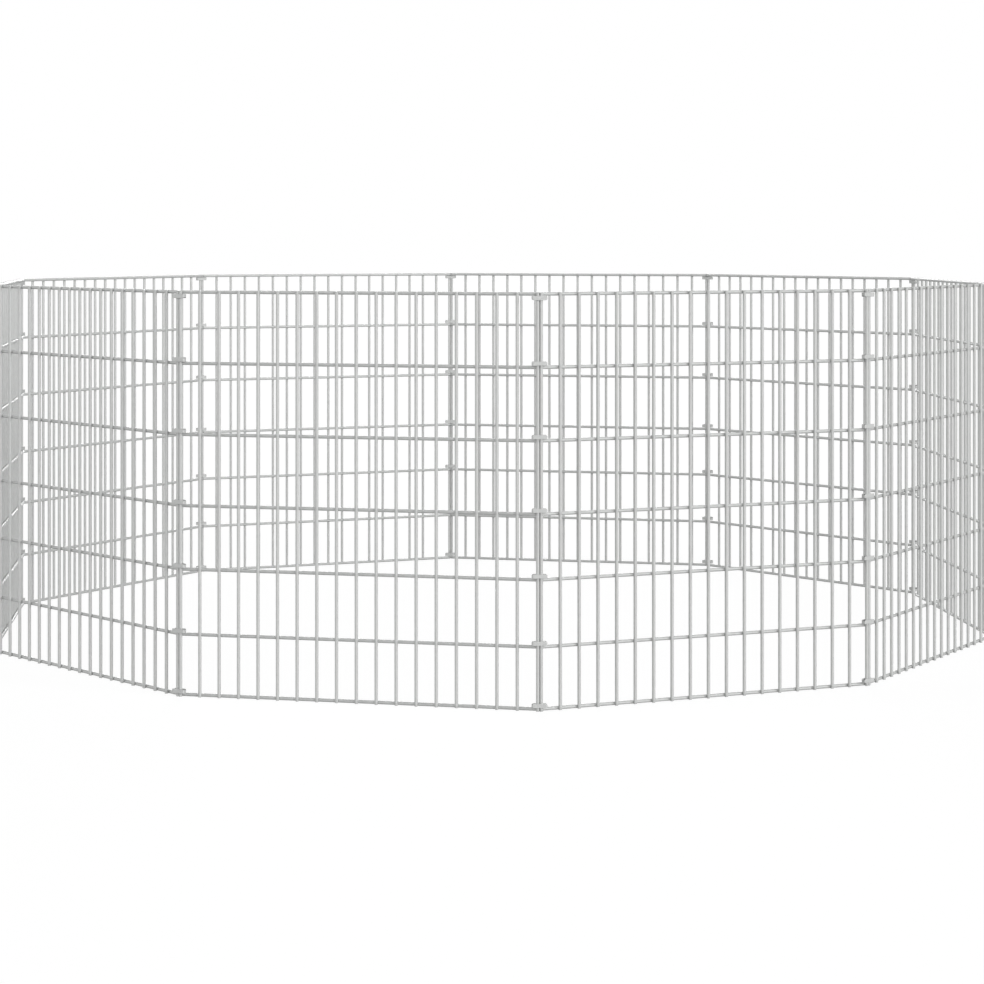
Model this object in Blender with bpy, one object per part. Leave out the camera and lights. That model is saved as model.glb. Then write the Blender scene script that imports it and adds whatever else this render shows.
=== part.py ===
"""Animal pen: ten panels of welded wire in a ring, linked corner to corner by loose sheet-metal clips.

The ring stands on the ground plane z = 0 around the z axis. panel_01 to panel_10 run counterclockwise,
seen from above, and corner k lies between panel k and the next one. The last corner, on the +X axis, is
where the ring opens. The other corners fold the opened ring flat like a concertina: the even ones fold
inward and the odd ones outward, half as far again. Each folding panel and each set of clips hangs from
an empty that stands on its own axis, so turning the empties folds the pen.
"""

import math

import bmesh
import bpy
from mathutils import Matrix, Vector

# Panel, in metres

PANEL_COUNT = 10
PANEL_WIDTH = 0.540                     # over its two end wires
WIRE = 0.005                            # diameter of every wire
UPRIGHT_COUNT = 19
LOWER_RAIL_GAPS = (0.0884, 0.0955, 0.0933)  # middle to middle, from the bottom rail up
UPPER_RAIL_GAP = 0.1045
UPPER_RAIL_GAP_COUNT = 3
WELD_SINK = 0.00025                     # two welded wires sink this far into each other
WIRE_AIR = 0.0001                       # between crossing wires that stay unwelded
TIE_STEP = 3                            # every third upright is welded to the inner rails as well
RAIL_END_MARGIN = 0.00005               # rails run this far past their last weld
CORNER_GAP = 0.0004                     # least gap between two panels at their corner

# Corner clip

CLIP_SHEET = 0.0007
CLIP_HEIGHT = 0.0060
CLIP_SLANT = 0.0018                     # slanted corners, seen from above and from the front
CLIP_SEAT_GAP = 0.0003                  # between a clip and the rail that it sits on
RUNNING_GAP = 0.00015                   # between moving pieces that touch when the pen folds
CLIP_RAILS = (1, 2, 4, 6, 7)            # the real pen has clips on rails 3 and 5 as well

# Fold

UNFOLDED_REST = math.radians(4.0)       # angle that an inward corner keeps when the pen is folded
SLIDE_LEAD = 0.00027                    # evens out how far the two wires slide apart in a clip
SLIDE_STEPS = 70                        # steps in which that slide is followed
ROOT_PANEL = 6                          # stays put while the others fold

# Worked out from the above

RADIUS = WIRE / 2
HALF_TURN = math.pi / PANEL_COUNT
UPRIGHT_SPAN = PANEL_WIDTH - WIRE
OUTER_RAIL_DEPTH = WIRE - WELD_SINK     # top and bottom rail, welded to every upright
INNER_RAIL_DEPTH = WIRE + WIRE_AIR      # the other rails, welded to the tied uprights
TIED_DEPTH = INNER_RAIL_DEPTH - OUTER_RAIL_DEPTH
INNER_FACE = INNER_RAIL_DEPTH + RADIUS
RAIL_OVERHANG = WELD_SINK + RAIL_END_MARGIN
RAIL_ROOM = RAIL_OVERHANG + INNER_FACE * math.tan(HALF_TURN) + CORNER_GAP / 2 / math.cos(HALF_TURN)
WIRE_ROOM = (RADIUS + CORNER_GAP / 2) / math.cos(HALF_TURN) + TIED_DEPTH * math.tan(HALF_TURN)
END_ROOM = max(RAIL_ROOM, WIRE_ROOM)    # from the corner to the middle of an end wire
SIDE = UPRIGHT_SPAN + 2 * END_ROOM
RING_RADIUS = SIDE / 2 / math.sin(HALF_TURN)
APOTHEM = SIDE / 2 / math.tan(HALF_TURN)
INWARD_FOLD = math.pi - 2 * HALF_TURN - UNFOLDED_REST


def rail_heights():
    """Heights of the rails' middles, from the bottom rail up."""
    heights = [RADIUS]
    for rise in LOWER_RAIL_GAPS + (UPPER_RAIL_GAP,) * UPPER_RAIL_GAP_COUNT:
        heights.append(heights[-1] + rise)
    return heights


RAIL_HEIGHTS = rail_heights()
PEN_HEIGHT = RAIL_HEIGHTS[-1] + RADIUS

# Corner geometry in plan: x runs from the corner towards the carried panel, y points out of the ring

CARRYING_WIRE = Vector((
    TIED_DEPTH * math.sin(HALF_TURN) - END_ROOM * math.cos(HALF_TURN),
    -TIED_DEPTH * math.cos(HALF_TURN) - END_ROOM * math.sin(HALF_TURN),
))
INWARD_AXIS = Vector((0.0, -(INNER_FACE + RUNNING_GAP) / math.cos(HALF_TURN)))
OUTWARD_AXIS = Vector((0.0, (RADIUS + RUNNING_GAP) / math.cos(HALF_TURN)))


def half_spread(fold):
    """Half the distance between the two end wires of an inward corner that has folded this far."""
    arm = CARRYING_WIRE - INWARD_AXIS
    rest = math.atan2(-arm.x, arm.y)
    return arm.length * math.sin(rest + fold / 2)


def clip_axis():
    """Axis of an inward corner's clips, which turn half as far as the carried panel.

    On the way the carrying wire slides from near the clip's middle to its end, along a flat arc.
    """
    slide = half_spread(INWARD_FOLD) + SLIDE_LEAD + CARRYING_WIRE.x
    drop = slide / 2 / math.tan(INWARD_FOLD / 4)
    return CARRYING_WIRE - Vector((slide / 2, drop))


CLIP_AXIS = clip_axis()
SLIDE_ARM = CARRYING_WIRE - CLIP_AXIS
SLIDE_RISE = SLIDE_ARM.length - SLIDE_ARM.y


def clip_reach():
    """Farthest that either wire of an inward corner gets from the middle of its clips."""
    start = math.atan2(SLIDE_ARM.y, SLIDE_ARM.x)
    reach = 0.0
    for step in range(SLIDE_STEPS + 1):
        fold = INWARD_FOLD * step / SLIDE_STEPS
        carrying = CLIP_AXIS.x + SLIDE_ARM.length * math.cos(start + fold / 2)
        carried = carrying + 2 * half_spread(fold)
        reach = max(reach, -carrying, carried)
    return reach


CLIP_HALF_LENGTH = clip_reach() + RADIUS + RUNNING_GAP      # inside the sheet
CLIP_HALF_DEPTH = SLIDE_RISE / 2 + RADIUS + RUNNING_GAP
CLIP_MIDDLE = CARRYING_WIRE.y + SLIDE_RISE / 2


# Helpers

def clear_scene():
    for item in list(bpy.data.objects):
        bpy.data.objects.remove(item)


def zinc_coated(name, shade, roughness):
    """Material of a zinc-coated steel piece."""
    material = bpy.data.materials.new(name)
    material.use_nodes = True
    shader = material.node_tree.nodes["Principled BSDF"]
    shader.inputs["Base Color"].default_value = (*shade, 1.0)
    shader.inputs["Metallic"].default_value = 1.0
    shader.inputs["Roughness"].default_value = roughness
    return material


def finished_mesh(bm, name):
    """Turn a closed bmesh into a mesh with its faces out."""
    bmesh.ops.recalc_face_normals(bm, faces=bm.faces)
    mesh = bpy.data.meshes.new(name)
    bm.to_mesh(mesh)
    bm.free()
    return mesh


def add_object(name, data, location=(0.0, 0.0, 0.0), turn=0.0):
    """Object, or empty without data, turned about the vertical."""
    item = bpy.data.objects.new(name, data)
    item.location = location
    item.rotation_euler.z = turn
    bpy.context.scene.collection.objects.link(item)
    return item


def hang_from(item, parent):
    """Parent an object and leave it where it is."""
    bpy.context.view_layer.update()
    item.parent = parent
    item.matrix_parent_inverse = parent.matrix_world.inverted()


# Panel

def add_wire(bm, middle, length, lying):
    """Four-sided wire with its ridges towards the wires that it crosses."""
    turn = Matrix.Rotation(math.pi / 2, 4, "Y") if lying else Matrix.Identity(4)
    bmesh.ops.create_cone(
        bm,
        cap_ends=True,
        segments=4,
        radius1=RADIUS,
        radius2=RADIUS,
        depth=length,
        matrix=Matrix.Translation(middle) @ turn,
    )


def uprights_mesh():
    """Standing wires of one panel: x along it, y out of the ring, the ground at z = 0."""
    bm = bmesh.new()
    pitch = UPRIGHT_SPAN / (UPRIGHT_COUNT - 1)
    for index in range(UPRIGHT_COUNT):
        along = index * pitch - UPRIGHT_SPAN / 2
        depth = TIED_DEPTH if index % TIE_STEP == 0 else 0.0
        add_wire(bm, (along, -depth, PEN_HEIGHT / 2), PEN_HEIGHT, lying=False)
    return finished_mesh(bm, "uprights")


def rails_mesh():
    """Lying wires of one panel, on the side that faces into the ring."""
    bm = bmesh.new()
    length = UPRIGHT_SPAN + 2 * RAIL_OVERHANG
    for index, height in enumerate(RAIL_HEIGHTS):
        outer = index in (0, len(RAIL_HEIGHTS) - 1)
        depth = OUTER_RAIL_DEPTH if outer else INNER_RAIL_DEPTH
        add_wire(bm, (0.0, -depth, height), length, lying=True)
    return finished_mesh(bm, "rails")


def welded_panel_mesh():
    """Uprights and rails joined into one body."""
    uprights = add_object("uprights", uprights_mesh())
    rails = add_object("rails", rails_mesh())
    weld = uprights.modifiers.new("weld", "BOOLEAN")
    weld.operation = "UNION"
    weld.solver = "EXACT"
    weld.object = rails
    bpy.context.view_layer.update()
    welded = uprights.evaluated_get(bpy.context.evaluated_depsgraph_get())
    mesh = bpy.data.meshes.new_from_object(welded)
    mesh.name = "welded_panel"
    for item in (uprights, rails):
        bpy.data.objects.remove(item)
    return mesh


# Clip

def clip_outline(half_length, half_depth, slant):
    """Oblong with slanted corners, counterclockwise, starting and ending at its +x end."""
    quarter = ((half_length, half_depth - slant), (half_length - slant, half_depth))
    upper = quarter + tuple((-x, y) for x, y in reversed(quarter))
    return upper + tuple((-x, -y) for x, y in upper)


def clip_mesh(name, closed):
    """Strip folded round the two end wires, as a closed loop or with its +x end left open.

    It stands on z = 0, and its upper edge drops at both ends, which slants its corners.
    """
    inner_slant = CLIP_SLANT - CLIP_SHEET * (2 - math.sqrt(2))
    sheet_length = CLIP_HALF_LENGTH + CLIP_SHEET
    outer = clip_outline(sheet_length, CLIP_HALF_DEPTH + CLIP_SHEET, CLIP_SLANT)
    inner = clip_outline(CLIP_HALF_LENGTH, CLIP_HALF_DEPTH, inner_slant)
    if not closed:
        outer = outer[1:-1]
        inner = inner[1:-1]
    bm = bmesh.new()

    def edge_points(outline, upper):
        points = []
        for x, y in outline:
            drop = max(0.0, abs(x) - (sheet_length - CLIP_SLANT))
            points.append(bm.verts.new((x, y, CLIP_HEIGHT - drop if upper else 0.0)))
        return points

    loops = [
        edge_points(outer, upper=False),
        edge_points(outer, upper=True),
        edge_points(inner, upper=True),
        edge_points(inner, upper=False),
    ]
    count = len(outer)
    for here in range(count if closed else count - 1):
        there = (here + 1) % count
        for loop, following in zip(loops, loops[1:] + loops[:1]):
            bm.faces.new((loop[here], loop[there], following[there], following[here]))
    if not closed:
        for end in (0, count - 1):
            bm.faces.new([loop[end] for loop in loops])
    bmesh.ops.triangulate(bm, faces=bm.faces)
    return finished_mesh(bm, name)


# Ring

def corner_angle(corner):
    return corner * 2 * HALF_TURN


def carried_side(corner):
    """1 where the carried panel lies counterclockwise of the corner, -1 where it lies clockwise."""
    return 1 if corner >= ROOT_PANEL else -1


def at_corner(corner, plan_point):
    """World place, at ground level, of a point given in the corner's plan."""
    angle = corner_angle(corner)
    outward = Vector((math.cos(angle), math.sin(angle), 0.0))
    towards_carried = Vector((-math.sin(angle), math.cos(angle), 0.0)) * carried_side(corner)
    return outward * (RING_RADIUS + plan_point.y) + towards_carried * plan_point.x


def add_panels(mesh):
    panels = {}
    for number in range(1, PANEL_COUNT + 1):
        angle = (2 * number - 1) * HALF_TURN
        middle = (APOTHEM * math.cos(angle), APOTHEM * math.sin(angle), 0.0)
        panels[number] = add_object(f"panel_{number:02d}", mesh, middle, angle - math.pi / 2)
    return panels


def add_clips(corner, mesh, holder):
    """Clips of one corner, each seated against its rail: the top one hangs turned over."""
    middle = at_corner(corner, Vector((0.0, CLIP_MIDDLE)))
    open_end_onward = corner_angle(corner) + math.pi / 2
    seat = RADIUS + CLIP_SEAT_GAP
    for rail in CLIP_RAILS:
        at_top = rail == len(RAIL_HEIGHTS)
        height = RAIL_HEIGHTS[rail - 1] + (-seat if at_top else seat)
        name = f"corner_{corner:02d}_clip_{rail}"
        clip = add_object(name, mesh, (middle.x, middle.y, height), open_end_onward)
        if at_top:
            clip.rotation_euler.x = math.pi
        hang_from(clip, holder)


def add_folding_corner(corner, panels, clip):
    """Carried panel and clips of one corner, each on its own axis on the carrying panel."""
    side = carried_side(corner)
    carrying = panels[corner if side > 0 else corner + 1]
    carried = panels[corner + 1 if side > 0 else corner]
    inward = corner % 2 == 0
    panel_axis = at_corner(corner, INWARD_AXIS if inward else OUTWARD_AXIS)
    clips_axis = at_corner(corner, CLIP_AXIS if inward else CARRYING_WIRE)
    fold = add_object(f"corner_{corner:02d}_fold", None, panel_axis)
    turn = add_object(f"corner_{corner:02d}_clip_turn", None, clips_axis)
    hang_from(fold, carrying)
    hang_from(turn, carrying)
    hang_from(carried, fold)
    add_clips(corner, clip, turn)


def build():
    clear_scene()
    panel = welded_panel_mesh()
    panel.materials.append(zinc_coated("galvanised_wire", (0.50, 0.51, 0.52), 0.40))
    closed_clip = clip_mesh("closed_clip", closed=True)
    open_clip = clip_mesh("open_clip", closed=False)
    sheet = zinc_coated("galvanised_sheet", (0.58, 0.59, 0.60), 0.34)
    for clip in (closed_clip, open_clip):
        clip.materials.append(sheet)
    panels = add_panels(panel)
    outward_from_root = list(range(ROOT_PANEL, PANEL_COUNT)) + list(range(ROOT_PANEL - 1, 0, -1))
    for corner in outward_from_root:
        add_folding_corner(corner, panels, closed_clip)
    add_clips(PANEL_COUNT, open_clip, panels[PANEL_COUNT])


if __name__ == "__main__":
    build()
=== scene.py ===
"""Dresses the animal pen: round galvanised wires, weld beads and bent sheet clips on its solids.

The ring stands on the floor, z = 0, round the z axis. Panel n faces (2n - 1) * 18 degrees and
corner k stands at k * 36 degrees, both counterclockwise from +X, seen from above. All sizes are in
metres.
"""

from __future__ import annotations

import logging
import math
from dataclasses import dataclass, replace
from enum import Enum, IntEnum

import bpy
import numpy as np
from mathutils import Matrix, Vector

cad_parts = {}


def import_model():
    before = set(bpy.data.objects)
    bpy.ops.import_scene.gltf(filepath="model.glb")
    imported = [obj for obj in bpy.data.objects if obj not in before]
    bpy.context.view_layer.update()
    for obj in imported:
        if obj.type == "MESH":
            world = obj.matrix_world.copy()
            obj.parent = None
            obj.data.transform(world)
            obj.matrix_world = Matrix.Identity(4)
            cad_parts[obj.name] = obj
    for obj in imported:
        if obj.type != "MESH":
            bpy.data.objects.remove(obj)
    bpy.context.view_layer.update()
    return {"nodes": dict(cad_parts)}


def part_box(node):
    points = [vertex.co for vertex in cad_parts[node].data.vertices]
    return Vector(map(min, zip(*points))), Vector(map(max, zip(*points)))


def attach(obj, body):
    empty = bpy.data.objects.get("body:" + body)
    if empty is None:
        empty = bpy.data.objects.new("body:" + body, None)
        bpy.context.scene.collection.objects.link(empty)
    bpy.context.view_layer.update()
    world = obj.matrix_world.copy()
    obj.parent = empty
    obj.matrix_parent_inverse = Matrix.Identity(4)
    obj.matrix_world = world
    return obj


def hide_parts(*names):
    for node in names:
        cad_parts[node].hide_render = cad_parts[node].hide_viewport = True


LOG = logging.getLogger("pen")
MM = 0.001
FULL_TURN = 2 * math.pi

# Width and height of the photograph, in pixels
PHOTO_SIDE = 984

# Sockets of a Mix node for colours, by number because their names repeat: three inputs, one output
MIX_SHARE, MIX_FIRST, MIX_SECOND = 0, 6, 7
MIX_RESULT = 2


# Surfaces

@dataclass
class Surface:
    """Faces of one piece, as flat arrays.

    Attributes:
        points: Vertex places, one row each.
        corners: Vertex numbers of all the faces, one after the other.
        sides: Number of corners of each face.
        spread: Place of each face corner on the unrolled surface: round it and along it.
        finish: Material number of each face.
        smooth: Whether each face is shaded smooth.
    """

    points: np.ndarray
    corners: np.ndarray
    sides: np.ndarray
    spread: np.ndarray
    finish: np.ndarray
    smooth: np.ndarray

    @staticmethod
    def joined(parts: list[Surface]) -> Surface:
        """Puts several surfaces into one.

        Args:
            parts: The surfaces, which keep their order.

        Returns:
            One surface that holds them all.
        """
        starts = np.cumsum([0] + [len(part.points) for part in parts[:-1]])
        corners = [part.corners + start for part, start in zip(parts, starts)]
        return Surface(
            np.concatenate([part.points for part in parts]),
            np.concatenate(corners),
            np.concatenate([part.sides for part in parts]),
            np.concatenate([part.spread for part in parts]),
            np.concatenate([part.finish for part in parts]),
            np.concatenate([part.smooth for part in parts]),
        )

    def turned(self, angle: float, shift: np.ndarray) -> Surface:
        """Turns the surface about the vertical, then shifts it.

        Args:
            angle: Turn in radians, counterclockwise from above.
            shift: How far it then moves.

        Returns:
            The surface in its new place.
        """
        cosine, sine = math.cos(angle), math.sin(angle)
        turn = np.array([[cosine, sine, 0.0], [-sine, cosine, 0.0], [0.0, 0.0, 1.0]])
        return replace(self, points=self.points @ turn + shift)

    def made(self, name: str, materials: list[bpy.types.Material]) -> bpy.types.Object:
        """Makes an object of the surface, with its origin at the frame's.

        Args:
            name: The piece's name.
            materials: What the faces' finish numbers stand for.

        Returns:
            The new object, linked to the scene.
        """
        mesh = bpy.data.meshes.new(name)
        mesh.vertices.add(len(self.points))
        mesh.vertices.foreach_set("co", self.points.astype(np.float32).ravel())
        mesh.loops.add(len(self.corners))
        mesh.loops.foreach_set("vertex_index", self.corners.astype(np.int32))
        mesh.polygons.add(len(self.sides))
        starts = np.concatenate([[0], np.cumsum(self.sides)[:-1]])
        mesh.polygons.foreach_set("loop_start", starts.astype(np.int32))
        mesh.polygons.foreach_set("material_index", self.finish.astype(np.int32))
        mesh.polygons.foreach_set("use_smooth", self.smooth)
        layer = mesh.uv_layers.new(name="unrolled")
        layer.data.foreach_set("uv", self.spread.astype(np.float32).ravel())
        for material in materials:
            mesh.materials.append(material)
        mesh.update(calc_edges=True)
        mesh.validate()
        piece = bpy.data.objects.new(name, mesh)
        bpy.context.scene.collection.objects.link(piece)
        return piece


def tube_surface(rings: np.ndarray, along: np.ndarray, round_it: np.ndarray,
                 wall: int, end: int) -> Surface:
    """Skin over rings of points, closed at both ends by flat caps.

    Ring r of tube t holds the points rings[t, r]. Neighbouring points of neighbouring rings make a
    face, and the last point of a ring joins the first.

    Args:
        rings: Points, tubes x rings x points x 3, with each ring counterclockwise seen from ahead.
        along: Distance of each ring from the first, tubes x rings.
        round_it: Distance of each point round its ring, tubes x (points + 1).
        wall: Finish number of the walls.
        end: Finish number of the caps.

    Returns:
        The closed surface of all the tubes.
    """
    tubes, count, sides = rings.shape[:3]
    tube = np.arange(tubes)[:, None, None]
    ring = np.arange(count - 1)[None, :, None]
    here = np.arange(sides)[None, None, :]
    first = (tube * count + ring) * sides
    onward = (here + 1) % sides
    ahead = first + sides
    quads = (first + here, first + onward, ahead + onward, ahead + here)
    quads = np.stack(np.broadcast_arrays(*quads), -1)
    steps = ((0, 0), (1, 0), (1, 1), (0, 1))
    spread = [
        np.stack(np.broadcast_arrays(round_it[tube, here + across], along[tube, ring + onto]), -1)
        for across, onto in steps
    ]
    spread = np.stack(spread, -2).reshape(-1, 2)
    base = np.arange(tubes)[:, None] * count * sides
    back = base + np.arange(sides)[::-1]
    front = base + (count - 1) * sides + np.arange(sides)
    caps = np.concatenate([back, front]).reshape(-1)
    walls = tubes * (count - 1) * sides
    return Surface(
        rings.reshape(-1, 3),
        np.concatenate([quads.reshape(-1), caps]),
        np.concatenate([np.full(walls, 4), np.full(2 * tubes, sides)]),
        np.concatenate([spread, np.zeros((len(caps), 2))]),
        np.concatenate([np.full(walls, wall), np.full(2 * tubes, end)]),
        np.concatenate([np.ones(walls, bool), np.zeros(2 * tubes, bool)]),
    )


def turned_rods(feet: np.ndarray, axis: str, stations: np.ndarray, radii: np.ndarray, sides: int,
                wall: int, end: int) -> Surface:
    """Round rods along one axis: foot + station along the axis + radius (cos, sin) across it.

    Args:
        feet: Where each rod starts, rods x 3.
        axis: "X", "Y" or "Z".
        stations: Distances along the rod.
        radii: Radius at each station.
        sides: Points round the rod.
        wall: Finish number of the round faces.
        end: Finish number of the cut ends.

    Returns:
        The closed surface of all the rods.
    """
    ahead = "XYZ".index(axis)
    turn = np.arange(sides) * FULL_TURN / sides
    rings = np.zeros((len(feet), len(stations), sides, 3))
    rings[..., ahead] = stations[:, None]
    rings[..., (ahead + 1) % 3] = radii[:, None] * np.cos(turn)
    rings[..., (ahead + 2) % 3] = radii[:, None] * np.sin(turn)
    rings += feet[:, None, None, :]
    round_it = np.arange(sides + 1) * FULL_TURN / sides * radii.max()
    lane = np.arange(len(feet))[:, None] * FULL_TURN * radii.max()
    along = np.broadcast_to(stations, (len(feet), len(stations)))
    return tube_surface(rings, along, round_it + lane, wall, end)


# Finishes

def linear(colour: str) -> tuple[float, float, float, float]:
    """Turns an sRGB colour to linear, by its curve: straight near black, a power of 2.4 above.

    Args:
        colour: Hex value such as "c8cacb".

    Returns:
        Red, green, blue and full cover.
    """
    levels = [int(colour[place:place + 2], 16) / 255 for place in (0, 2, 4)]
    bent = [
        level / 12.92 if level <= 0.04045 else ((level + 0.055) / 1.055) ** 2.4
        for level in levels
    ]
    return (*bent, 1.0)


def add_node(tree: bpy.types.NodeTree, kind: str, settings: dict | None = None,
             links: dict | None = None) -> bpy.types.Node:
    """Adds a node.

    Args:
        tree: The tree that it goes into.
        kind: Blender's name of the node's type.
        settings: Value by name. A name that isn't the node's own is one of its sockets.
        links: Where each socket, by name or number, gets its value from.

    Returns:
        The new node.
    """
    node = tree.nodes.new(kind)
    for name, value in (settings or {}).items():
        if isinstance(name, str) and hasattr(node, name):
            setattr(node, name, value)
        else:
            node.inputs[name].default_value = value
    for name, source in (links or {}).items():
        tree.links.new(source, node.inputs[name])
    return node


class Run(Enum):
    """Which way a wire runs, which says where it crosses the others."""

    STANDING = "standing"
    LYING = "lying"


@dataclass(frozen=True)
class ZincCoat:
    """Zinc on steel, hot dipped: a soft grey metal, a little uneven in tone and gloss.

    Attributes:
        name: Name of the material.
        shade: Its sRGB colour.
        patchy: Its colour in the patches where the coat is thinner.
        roughness: Mean roughness.
        metallic: Less than 1, because a film of oxide scatters part of the light.
        patch: Size of the patches.
        patch_detail: Octaves of the patches' noise.
        patch_edge: Levels of that noise between which the patches fade in.
        grain: Size of the fine unevenness that breaks up the gloss. Zinc's own is nearer 0.2 mm,
            drawn coarser here so that it shows.
        grain_detail: Octaves of the grain's noise.
        grain_edge: Levels of that noise between which the roughness rises.
        uneven: How far the roughness swings about its mean.
        relief: Height of the grain.
        relief_share: How strongly that height tilts the light.
    """

    name: str
    shade: str
    patchy: str
    roughness: float = 0.6
    metallic: float = 0.3
    patch: float = 6 * MM
    patch_detail: float = 2.0
    patch_edge: tuple[float, float] = (0.35, 0.65)
    grain: float = 0.8 * MM
    grain_detail: float = 3.0
    grain_edge: tuple[float, float] = (0.3, 0.7)
    uneven: float = 0.05
    relief: float = 0.03 * MM
    relief_share: float = 0.2

    def start(self) -> tuple[bpy.types.Material, bpy.types.NodeTree, bpy.types.Node]:
        """Starts the material.

        Returns:
            The material, its tree and its shader, still plain.
        """
        material = bpy.data.materials.new(self.name)
        material.use_nodes = True
        shader = material.node_tree.nodes["Principled BSDF"]
        shader.inputs["Metallic"].default_value = self.metallic
        return material, material.node_tree, shader

    def coat(self, tree: bpy.types.NodeTree, shader: bpy.types.Node) -> bpy.types.NodeSocket:
        """Adds the patches of tone, the uneven gloss and the relief.

        Args:
            tree: The material's tree.
            shader: Its shader, which gets the gloss and the relief.

        Returns:
            The colour of the coat.
        """
        place = add_node(tree, "ShaderNodeTexCoord").outputs["Object"]
        patches = add_node(
            tree, "ShaderNodeTexNoise",
            {"Scale": 1 / self.patch, "Detail": self.patch_detail}, {"Vector": place},
        )
        grain = add_node(
            tree, "ShaderNodeTexNoise",
            {"Scale": 1 / self.grain, "Detail": self.grain_detail}, {"Vector": place},
        )
        share = add_node(
            tree, "ShaderNodeMapRange",
            {"From Min": self.patch_edge[0], "From Max": self.patch_edge[1]},
            {"Value": patches.outputs["Fac"]},
        )
        colours = {MIX_FIRST: linear(self.shade), MIX_SECOND: linear(self.patchy)}
        colour = add_node(
            tree, "ShaderNodeMix",
            {"data_type": "RGBA", **colours}, {MIX_SHARE: share.outputs["Result"]},
        )
        swing = {"To Min": self.roughness - self.uneven, "To Max": self.roughness + self.uneven}
        gloss = add_node(
            tree, "ShaderNodeMapRange",
            {"From Min": self.grain_edge[0], "From Max": self.grain_edge[1], **swing},
            {"Value": grain.outputs["Fac"]},
        )
        tree.links.new(gloss.outputs["Result"], shader.inputs["Roughness"])
        relief = add_node(
            tree, "ShaderNodeBump",
            {"Strength": self.relief_share, "Distance": self.relief},
            {"Height": grain.outputs["Fac"]},
        )
        tree.links.new(relief.outputs["Normal"], shader.inputs["Normal"])
        return colour.outputs[MIX_RESULT]

    def material(self) -> bpy.types.Material:
        """Builds the material.

        Returns:
            The finished material.
        """
        material, tree, shader = self.start()
        tree.links.new(self.coat(tree, shader), shader.inputs["Base Color"])
        return material


@dataclass(frozen=True)
class WireCoat(ZincCoat):
    """Drawn steel wire, galvanised, darker near each crossing: duller zinc at the weld, with
    painted shade where the wires meet.

    Attributes:
        weld_shade: The colour right at a crossing: the weld's duller zinc, and painted shade where
            the wires meet.
        run: Which way the wire runs.
        crossings: Where it crosses others: heights, or the pitch of even crossings.
        first: Where the first of even crossings lies.
        weld_shade_reach: How far from a crossing the coat is darker, with duller zinc and painted
            shade.
        weld_shade_peak: Share of that darker colour right at the crossing.
    """

    weld_shade: str = "babbba"
    run: Run = Run.STANDING
    crossings: tuple[float, ...] = ()
    first: float = 0.0
    weld_shade_reach: float = 3.5 * MM
    weld_shade_peak: float = 0.8

    def weld_gap(self, tree: bpy.types.NodeTree,
                 along: bpy.types.NodeSocket) -> bpy.types.NodeSocket:
        """Measures the way to the nearest crossing.

        On a lying wire this is the place past the first crossing, folded to and fro over half a
        pitch. On a standing one it is the least of the distances from all the rails.

        Args:
            tree: The material's tree.
            along: Place along the wire.

        Returns:
            The distance from the nearest crossing.
        """
        if self.run is Run.LYING:
            past = add_node(
                tree, "ShaderNodeMath", {"operation": "SUBTRACT", 1: self.first}, {0: along},
            )
            return add_node(
                tree, "ShaderNodeMath",
                {"operation": "PINGPONG", 1: self.crossings[0] / 2}, {0: past.outputs[0]},
            ).outputs[0]
        gap = None
        for height in self.crossings:
            away = add_node(
                tree, "ShaderNodeMath", {"operation": "SUBTRACT", 1: height}, {0: along},
            )
            away = add_node(
                tree, "ShaderNodeMath", {"operation": "ABSOLUTE"}, {0: away.outputs[0]},
            )
            if gap is not None:
                away = add_node(
                    tree, "ShaderNodeMath",
                    {"operation": "MINIMUM"}, {0: away.outputs[0], 1: gap},
                )
            gap = away.outputs[0]
        return gap

    def material(self) -> bpy.types.Material:
        """Builds the material.

        Returns:
            The finished material.
        """
        material, tree, shader = self.start()
        unrolled = add_node(tree, "ShaderNodeUVMap", {"uv_map": "unrolled"})
        place = add_node(tree, "ShaderNodeSeparateXYZ", links={0: unrolled.outputs["UV"]})
        # Painted shade: the colour darkens towards each crossing, where the wires meet, together
        # with the weld's duller zinc
        weld_shade_share = add_node(
            tree, "ShaderNodeMapRange",
            {
                "interpolation_type": "SMOOTHSTEP",
                "From Max": self.weld_shade_reach,
                "To Min": self.weld_shade_peak,
                "To Max": 0.0,
            },
            {"Value": self.weld_gap(tree, place.outputs["Y"])},
        )
        colour = add_node(
            tree, "ShaderNodeMix",
            {"data_type": "RGBA", MIX_SECOND: linear(self.weld_shade)},
            {MIX_SHARE: weld_shade_share.outputs["Result"], MIX_FIRST: self.coat(tree, shader)},
        )
        tree.links.new(colour.outputs[MIX_RESULT], shader.inputs["Base Color"])
        return material


# Pen

@dataclass(frozen=True)
class PenPlan:
    """The sizes that the pen's pieces share.

    Attributes:
        panels: Number of panels in the ring.
        ring_radius: From the middle of the ring to its corners.
        rail_heights: Heights of the lying wires' middles.
        wire_radius: Half of the thickness of every wire.
    """

    panels: int = 10
    ring_radius: float = 0.87529
    rail_heights: tuple[float, ...] = (0.0025, 0.0909, 0.1864, 0.2797, 0.3842, 0.4887, 0.5932)
    wire_radius: float = 2.5 * MM

    @property
    def half_turn(self) -> float:
        """Half of the angle that one panel takes up in the ring."""
        return math.pi / self.panels

    @property
    def apothem(self) -> float:
        """From the middle of the ring to the plane of a panel."""
        return self.ring_radius * math.cos(self.half_turn)

    @property
    def height(self) -> float:
        """From the floor to the top of the panels."""
        return self.rail_heights[-1] + self.wire_radius


class PanelFinish(IntEnum):
    """A panel's materials, in their order."""

    STANDING_WIRE = 0
    LYING_WIRE = 1
    CUT_END = 2
    WELD_BEAD = 3


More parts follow.
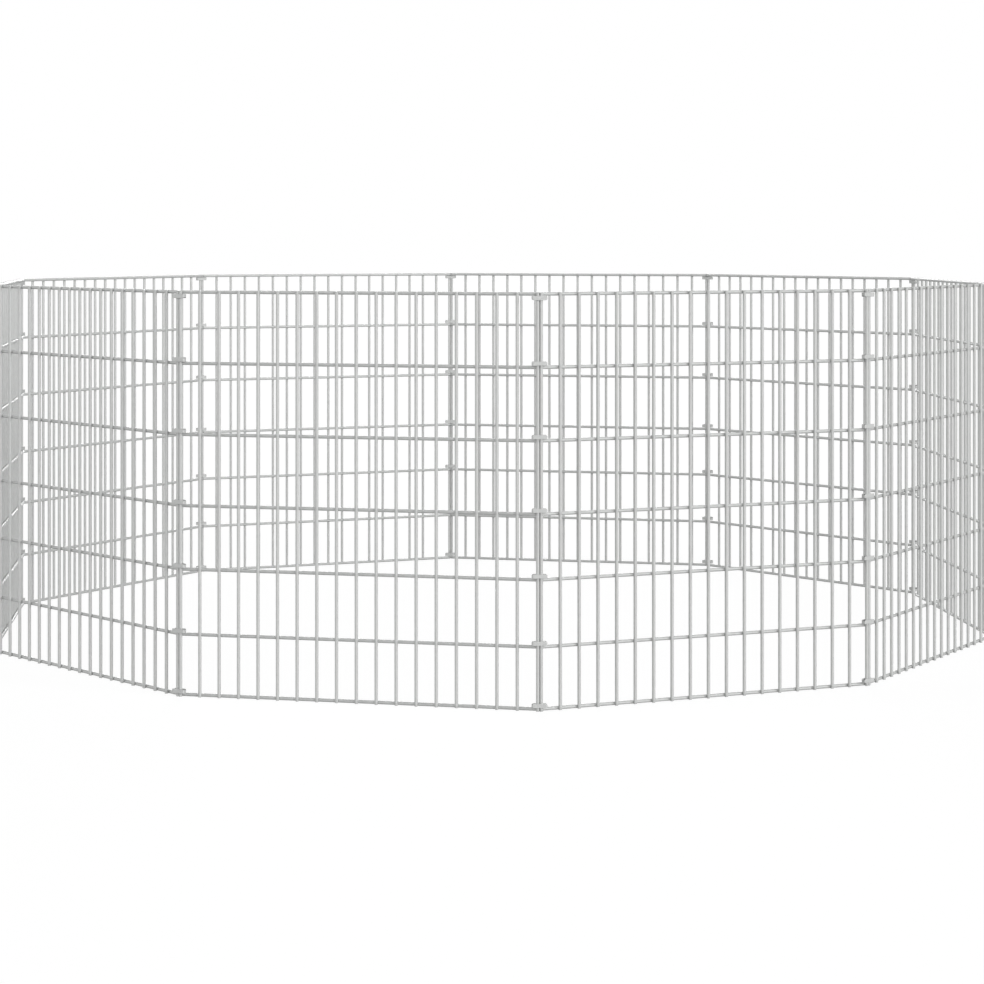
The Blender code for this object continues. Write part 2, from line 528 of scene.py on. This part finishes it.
@dataclass(frozen=True)
class WirePanel:
    """One panel: standing wires outside, lying wires inside, and a bead of zinc at each weld.

    Attributes:
        plan: Sizes that all pieces share.
        width: Width over the end wires, which here come as close to their neighbours as on the
            real pen.
        standing: Number of standing wires.
        set_in: How far the standing wires lie inside the panel's plane.
        sink: How deep two welded wires sink into each other.
        overhang: How far a lying wire runs past the middle of the last standing one.
        chamfer: Rounding of the cut ends.
        bead: Radius of a weld bead, which fills the nook between two wires, and its length.
        bead_stations: Places along a bead, as shares of half its length.
        bead_shares: Radius at each of them, as shares of the bead's.
        wire_sides: Faces round a wire.
        bead_sides: Faces round a bead.
    """

    plan: PenPlan
    width: float = 0.5405
    standing: int = 19
    set_in: float = 0.35 * MM
    sink: float = 0.25 * MM
    overhang: float = 0.05 * MM
    chamfer: float = 0.3 * MM
    bead: float = 1.6 * MM
    bead_stations: tuple[float, ...] = (0.0, 0.35, 1.0, 1.65, 2.0)
    bead_shares: tuple[float, ...] = (0.45, 0.88, 1.0, 0.88, 0.45)
    wire_sides: int = 12
    bead_sides: int = 8

    @property
    def span(self) -> float:
        """Between the middles of the two end wires."""
        return self.width - 2 * self.plan.wire_radius

    @property
    def pitch(self) -> float:
        """Between the middles of two neighbouring standing wires."""
        return self.span / (self.standing - 1)

    def places(self) -> np.ndarray:
        """Distances of the standing wires from the panel's middle."""
        return (np.arange(self.standing) - (self.standing - 1) / 2) * self.pitch

    def rods(self, feet: np.ndarray, axis: str, length: float, wall: PanelFinish) -> Surface:
        """Wires with rounded cut ends. Two rings near each end keep the shading level between them.

        Args:
            feet: Where each wire starts.
            axis: The axis that they run along.
            length: Their length.
            wall: Finish of their round faces.

        Returns:
            The surface of all of them.
        """
        ends = np.array([0.0, 1.0, 2.0]) * self.chamfer
        stations = np.concatenate([ends, length - ends[::-1]])
        radii = np.full(len(stations), self.plan.wire_radius)
        radii[[0, -1]] -= self.chamfer
        return turned_rods(feet, axis, stations, radii, self.wire_sides, wall, PanelFinish.CUT_END)

    def beads(self, depth: float, heights: np.ndarray) -> Surface:
        """The weld beads: short round rods, thinner towards both ends, one through each crossing.

        Args:
            depth: How far out of the ring their middles lie.
            heights: Heights of the lying wires.

        Returns:
            The surface of all of them.
        """
        across, up = [grid.ravel() for grid in np.meshgrid(self.places(), heights)]
        reach = self.bead / 2
        feet = np.stack([across, np.full_like(across, depth - reach), up], -1)
        stations = np.array(self.bead_stations) * reach
        radii = np.array(self.bead_shares) * self.bead
        finish = PanelFinish.WELD_BEAD
        return turned_rods(feet, "Y", stations, radii, self.bead_sides, finish, finish)

    def surface(self) -> Surface:
        """The whole panel, at the middle of its width.

        Returns:
            All its wires and beads: x along the panel, y out of the ring, the floor at z = 0.
        """
        places = self.places()
        heights = np.array(self.plan.rail_heights)
        lying_depth = -self.set_in - 2 * self.plan.wire_radius + self.sink
        start = np.full_like(heights, -self.span / 2 - self.overhang)
        standing = np.stack([places, np.full_like(places, -self.set_in), np.zeros_like(places)], -1)
        lying = np.stack([start, np.full_like(heights, lying_depth), heights], -1)
        length = self.span + 2 * self.overhang
        return Surface.joined([
            self.rods(standing, "Z", self.plan.height, PanelFinish.STANDING_WIRE),
            self.rods(lying, "X", length, PanelFinish.LYING_WIRE),
            self.beads((lying_depth - self.set_in) / 2, heights),
        ])

    def dressed(self, number: int, surface: Surface,
                materials: list[bpy.types.Material]) -> bpy.types.Object:
        """Puts a copy of the panel into its place in the ring.

        Args:
            number: Which panel.
            surface: What surface() gave.
            materials: Finishes in the order of PanelFinish.

        Returns:
            The piece, which stands for the panel's solid.
        """
        angle = (2 * number - 1) * self.plan.half_turn
        middle = np.array([math.cos(angle), math.sin(angle), 0.0]) * self.plan.apothem
        node = f"panel_{number:02d}"
        piece = surface.turned(angle - math.pi / 2, middle).made(f"{node}_wires", materials)
        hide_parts(node)
        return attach(piece, node)


class ClipForm(Enum):
    """How a clip's strip goes round the two end wires."""

    CLOSED = "closed"
    OPEN = "open"


class ClipFinish(IntEnum):
    """A clip's materials, in their order."""

    SHEET = 0
    SHEARED_EDGE = 1


@dataclass(frozen=True)
class CornerClip:
    """Clip of bent sheet strip round the end wires of two neighbouring panels.

    Attributes:
        plan: Sizes that all pieces share.
        half_length: Half of the length inside the strip.
        half_depth: Half of the depth inside the strip.
        middle: Distance of the clip's middle from the corner's, out of the ring.
        sheet: Thickness of the strip.
        height: Width of the strip, which stands on edge.
        slant: How far the corners are cut back.
        bend: Radius of the bends, at the middle of the sheet.
        seam: Gap where the strip's ends meet, on the side that faces into the ring.
        edge: Rounding of the strip's edges.
        seat: Gap between the clip and its rail.
        play: Extra half depth over the solid's, for end wires that are nearer to each other than
            the solid's.
        bend_steps: Faces in each bend.
    """

    plan: PenPlan
    half_length: float
    half_depth: float
    middle: float
    sheet: float = 0.7 * MM
    height: float = 6.0 * MM
    slant: float = 1.8 * MM
    bend: float = 1.9 * MM
    seam: float = 0.25 * MM
    edge: float = 0.12 * MM
    seat: float = 0.3 * MM
    play: float = 0.12 * MM
    bend_steps: int = 5

    @property
    def shoulder(self) -> float:
        """Where the corners start to be cut back, along the clip from its middle."""
        return self.half_length + self.sheet - self.slant

    def path(self, form: ClipForm) -> np.ndarray:
        """Middle line of the strip in plan, counterclockwise: an oblong with round corners.

        Args:
            form: Closed, with its seam at the middle of the +y side, or open at its +x end.

        Returns:
            Points, one row each.
        """
        x = self.half_length + self.sheet / 2 - self.bend
        y = self.half_depth + self.play + self.sheet / 2 - self.bend
        turn = np.linspace(0.0, math.pi / 2, self.bend_steps + 1)
        arc = np.stack([np.cos(turn), np.sin(turn)], -1) * self.bend
        quarter = np.array([[0.0, -1.0], [1.0, 0.0]])
        corners = []
        for sign_x, sign_y in ((1, 1), (-1, 1), (-1, -1), (1, -1)):
            corners.append(arc + (sign_x * x, sign_y * y))
            arc = arc @ quarter.T
        top = y + self.bend
        if form is ClipForm.OPEN:
            start, stop = [(self.shoulder, top)], [(self.shoulder, -top)]
            return np.concatenate([start, corners[1], corners[2], stop])
        start, stop = [(-self.seam / 2, top)], [(self.seam / 2, top)]
        return np.concatenate([start, corners[1], corners[2], corners[3], corners[0], stop])

    def surface(self, form: ClipForm) -> Surface:
        """The bent strip: the outline of its edge, with rounded edges, carried along the path.

        Its height falls by as much as a place lies past the shoulder, which cuts the corners back.

        Args:
            form: Closed or open.

        Returns:
            The strip, standing on z = 0 round the clip's middle.
        """
        path = self.path(form)
        ahead = np.gradient(path, axis=0)
        ahead /= np.linalg.norm(ahead, axis=1, keepdims=True)
        out = np.stack([ahead[:, 1], -ahead[:, 0]], -1)
        high = self.height - np.maximum(0.0, np.abs(path[:, 0]) - self.shoulder)
        low = np.zeros_like(high)
        half = self.sheet / 2
        flat, edge = half - self.edge, self.edge
        # The outline has eight points. Its sides 0 and 4 are the strip's lower and upper edge
        offset = np.array([flat, -flat, -half, -half, -flat, flat, half, half])
        level = [low, low, low + edge, high - edge, high, high, high - edge, low + edge]
        level = np.stack(level, -1)
        rings = np.concatenate([
            path[:, None, :] + out[:, None, :] * offset[None, :, None],
            level[:, :, None],
        ], -1)
        steps = np.linalg.norm(np.diff(path, axis=0), axis=1)
        along = np.concatenate([[0.0], np.cumsum(steps)])
        girth = np.linspace(0.0, 2 * (self.height + self.sheet), len(offset) + 1)
        skin = tube_surface(
            rings[None], along[None], girth[None], ClipFinish.SHEET, ClipFinish.SHEARED_EDGE,
        )
        walls = skin.sides == 4
        side = np.arange(walls.sum()) % len(offset)
        sheared = np.isin(side, (0, 4))
        skin.finish[walls] = np.where(sheared, ClipFinish.SHEARED_EDGE, ClipFinish.SHEET)
        skin.smooth[:] = False
        return skin

    def seated(self, corner: int, rail: int, skin: Surface) -> Surface:
        """Puts the strip against its rail: on top of it, or turned over below the top rail.

        Args:
            corner: Which corner, from 1.
            rail: Which rail, from 1 at the bottom.
            skin: The strip's surface, from surface().

        Returns:
            The strip in its place in the ring.
        """
        seat = self.plan.wire_radius + self.seat
        height = self.plan.rail_heights[rail - 1]
        if rail < len(self.plan.rail_heights):
            points = skin.points + (0.0, 0.0, height + seat)
        else:
            # Turned over end for end, so that the seam stays inside the ring. The open one turns
            # about its length, so that its open end stays where it is
            end_for_end = (-1.0, 1.0, -1.0)
            about_length = (1.0, -1.0, -1.0)
            over = about_length if corner == self.plan.panels else end_for_end
            points = skin.points * over + (0.0, 0.0, height - seat)
        angle = corner * 2 * self.plan.half_turn
        reach = self.plan.ring_radius + self.middle
        middle = np.array([math.cos(angle), math.sin(angle), 0.0]) * reach
        return replace(skin, points=points).turned(angle + math.pi / 2, middle)

    def dressed(self, corner: int, rail: int, skin: Surface, node: str | None, body: str,
                materials: list[bpy.types.Material]) -> bpy.types.Object:
        """Makes one clip and hands it to its body.

        Args:
            corner: Which corner, from 1.
            rail: Which rail, from 1 at the bottom.
            skin: The strip's surface, from surface().
            node: The solid that it stands for, if there is one.
            body: The body that it rides on.
            materials: Finishes in the order of ClipFinish.

        Returns:
            The piece.
        """
        name = f"corner_{corner:02d}_clip_{rail}_strip"
        piece = self.seated(corner, rail, skin).made(name, materials)
        if node:
            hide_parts(node)
        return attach(piece, body)


# Studio

@dataclass(frozen=True)
class Lamp:
    """Far and wide lamp, so that the floor is lit evenly.

    Attributes:
        name: Its name.
        azimuth: Where it stands, in degrees counterclockwise from +X.
        level: Brightness that it gives a white surface that faces it.
        elevation: How high it stands, in degrees.
        spread: Its width as seen from the pen, in degrees, which softens its shadows.
        height: Where it hangs over the ring, which a far lamp's light doesn't depend on.
    """

    name: str
    azimuth: float
    level: float
    elevation: float = 12.0
    spread: float = 20.0
    height: float = 3.0

    def hang(self) -> None:
        """Adds it to the scene, turned so that it shines from where it stands."""
        data = bpy.data.lights.new(self.name, "SUN")
        data.energy = self.level * math.pi
        data.angle = math.radians(self.spread)
        lamp = bpy.data.objects.new(self.name, data)
        lamp.location = (0.0, 0.0, self.height)
        tilt, turn = math.radians(90.0 - self.elevation), math.radians(self.azimuth + 90.0)
        lamp.rotation_euler = (tilt, 0.0, turn)
        bpy.context.scene.collection.objects.link(lamp)


@dataclass(frozen=True)
class Studio:
    """White floor and background, soft lamps and the camera.

    Attributes:
        azimuth: Direction from which the camera looks, from -Y towards +X.
        distance: From the middle of the ring to the camera, along its view.
        aside: How far to the right of the ring's middle the view passes.
        eye: Height of the camera.
        sensor: Width of the camera's sensor, in its own millimetres.
        focal: Focal length in image widths.
        shift: How far the image sits below the level of the eye, in image widths.
        ambient: Strength of the light from all round.
        floor_reach: Half of the floor's width.
        floor_colour: The floor's sRGB colour.
        floor_roughness: Its roughness, as of matt paper.
        floor_glow: How strongly it glows where it is seen, so that it looks white.
        lamps: The lamps, low and on all sides.
    """

    azimuth: float = math.radians(12.95)
    distance: float = 4.580
    aside: float = 0.0095
    eye: float = 0.6816
    sensor: float = 36.0
    focal: float = 2610 / PHOTO_SIDE
    shift: float = -260.15 / PHOTO_SIDE
    ambient: float = 0.345
    floor_reach: float = 30.0
    floor_colour: str = "737373"
    floor_roughness: float = 0.9
    floor_glow: float = 0.89
    lamps: tuple[Lamp, ...] = (
        Lamp("front", -72.0, 0.193),
        Lamp("front_right", -45.0, 0.295),
        Lamp("right", -10.0, 0.32),
        Lamp("left", -160.0, 0.24),
        Lamp("back", 105.0, 0.60),
    )

    def camera(self) -> None:
        """Level camera at the photograph's angle, framed by its shift."""
        data = bpy.data.cameras.new("camera")
        data.sensor_width = self.sensor
        data.lens = self.focal * data.sensor_width
        data.shift_y = self.shift
        camera = bpy.data.objects.new("camera", data)
        sine, cosine = math.sin(self.azimuth), math.cos(self.azimuth)
        camera.location = (
            sine * self.distance + cosine * self.aside,
            -cosine * self.distance + sine * self.aside,
            self.eye,
        )
        camera.rotation_euler = (math.pi / 2, 0.0, self.azimuth)
        bpy.context.scene.collection.objects.link(camera)
        bpy.context.scene.camera = camera

    @staticmethod
    def seen(tree: bpy.types.NodeTree) -> bpy.types.NodeSocket:
        """Tells rays that show a surface from those that carry its light.

        Args:
            tree: The tree that needs to know.

        Returns:
            1 for rays from the camera or by way of gloss or glass, else 0.
        """
        rays = add_node(tree, "ShaderNodeLightPath").outputs
        either = add_node(
            tree, "ShaderNodeMath", {"operation": "MAXIMUM"},
            {0: rays["Is Camera Ray"], 1: rays["Is Glossy Ray"]},
        )
        return add_node(
            tree, "ShaderNodeMath", {"operation": "MAXIMUM"},
            {0: either.outputs[0], 1: rays["Is Transmission Ray"]},
        ).outputs[0]

    def backdrop(self) -> None:
        """White all round where it is seen, and softer as a light."""
        world = bpy.data.worlds.new("backdrop")
        bpy.context.scene.world = world
        world.use_nodes = True
        tree = world.node_tree
        strength = add_node(
            tree, "ShaderNodeMapRange", {"To Min": self.ambient, "To Max": 1.0},
            {"Value": self.seen(tree)},
        )
        shell = tree.nodes["Background"]
        shell.inputs["Color"].default_value = (1.0, 1.0, 1.0, 1.0)
        tree.links.new(strength.outputs["Result"], shell.inputs["Strength"])

    def floor(self) -> None:
        """Pale floor that looks white and keeps the pen's shadow."""
        reach = self.floor_reach
        mesh = bpy.data.meshes.new("floor")
        corners = [(-reach, -reach, 0), (reach, -reach, 0), (reach, reach, 0), (-reach, reach, 0)]
        mesh.from_pydata(corners, [], [(0, 1, 2, 3)])
        floor = bpy.data.objects.new("floor", mesh)
        bpy.context.scene.collection.objects.link(floor)
        material = bpy.data.materials.new("white_floor")
        material.use_nodes = True
        tree = material.node_tree
        shader = tree.nodes["Principled BSDF"]
        shader.inputs["Base Color"].default_value = linear(self.floor_colour)
        shader.inputs["Roughness"].default_value = self.floor_roughness
        shader.inputs["Specular IOR Level"].default_value = 0.0
        shader.inputs["Emission Color"].default_value = (1.0, 1.0, 1.0, 1.0)
        glow = add_node(
            tree, "ShaderNodeMath", {"operation": "MULTIPLY", 1: self.floor_glow},
            {0: self.seen(tree)},
        )
        tree.links.new(glow.outputs[0], shader.inputs["Emission Strength"])
        mesh.materials.append(material)

    def set_up(self) -> None:
        """Builds all of it."""
        scene = bpy.context.scene
        scene.view_settings.view_transform = "Standard"
        self.camera()
        self.backdrop()
        self.floor()
        for lamp in self.lamps:
            lamp.hang()


def build_panels(plan: PenPlan) -> list[bpy.types.Object]:
    """Builds all the panels.

    Args:
        plan: Sizes that all pieces share.

    Returns:
        The panels' pieces.
    """
    panel = WirePanel(plan)
    surface = panel.surface()
    drawn = {"shade": "c6c7c6", "patchy": "c2c3c2"}
    standing = {"run": Run.STANDING, "crossings": plan.rail_heights}
    lying = {"run": Run.LYING, "crossings": (panel.pitch,), "first": panel.overhang}
    materials = [
        # Drawn steel wire, galvanised: an even soft grey without sharp highlights, and darker near
        # each crossing, with the weld's duller zinc and painted shade where the wires meet
        WireCoat("galvanised_standing_wire", **drawn, **standing).material(),
        WireCoat("galvanised_lying_wire", **drawn, **lying).material(),
        # Steel cut before it was galvanised: the coat is thinner there, so the ends are a shade
        # darker
        ZincCoat("galvanised_cut_end", "b4b5b4", "aaabaa").material(),
        # Zinc that ran together over a weld: a little darker and smoother than the wires
        ZincCoat("galvanised_weld_bead", "c0c1c0", "babbba", roughness=0.55).material(),
    ]
    return [panel.dressed(number, surface, materials) for number in range(1, plan.panels + 1)]


def build_clips(plan: PenPlan, nodes: dict[str, bpy.types.Object]) -> list[bpy.types.Object]:
    """Builds the clips of every corner, at every rail.

    Args:
        plan: Sizes that all pieces share.
        nodes: The solids by name, which say where a clip has one.

    Returns:
        The clips' pieces.
    """
    # The clip of corner 5 lies along y, so that its box gives the length and the depth
    low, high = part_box("corner_05_clip_1")
    sheet = CornerClip.sheet
    clip = CornerClip(
        plan,
        half_length=(high.y - low.y) / 2 - sheet,
        half_depth=(high.x - low.x) / 2 - sheet,
        middle=-(low.x + high.x) / 2 - plan.ring_radius,
    )
    materials = [
        # Rolled steel strip, galvanised: as grey as the wires, and flat, so that it takes one tone
        ZincCoat("galvanised_rolled_sheet", "c4c5c4", "bfc0bf").material(),
        # The same strip's edges, sheared and then coated: thin darker lines that give the sheet
        # its thickness
        ZincCoat("galvanised_sheared_edge", "bbbcbb", "b4b5b4").material(),
    ]
    closed, opened = clip.surface(ClipForm.CLOSED), clip.surface(ClipForm.OPEN)
    pieces = []
    for corner in range(1, plan.panels + 1):
        last = corner == plan.panels
        body = f"panel_{corner:02d}" if last else f"clips_{corner:02d}"
        skin = opened if last else closed
        for rail in range(1, len(plan.rail_heights) + 1):
            name = f"corner_{corner:02d}_clip_{rail}"
            node = name if name in nodes else None
            pieces.append(clip.dressed(corner, rail, skin, node, body, materials))
    return pieces


def main() -> None:
    """Loads the frame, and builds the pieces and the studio."""
    logging.basicConfig(level=logging.INFO, format="%(name)s: %(message)s")
    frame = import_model()
    plan = PenPlan()
    for piece in build_panels(plan) + build_clips(plan, frame["nodes"]):
        LOG.info("%s: %d faces", piece.name, len(piece.data.polygons))
    Studio().set_up()
    bpy.context.view_layer.update()


if __name__ == "__main__":
    main()
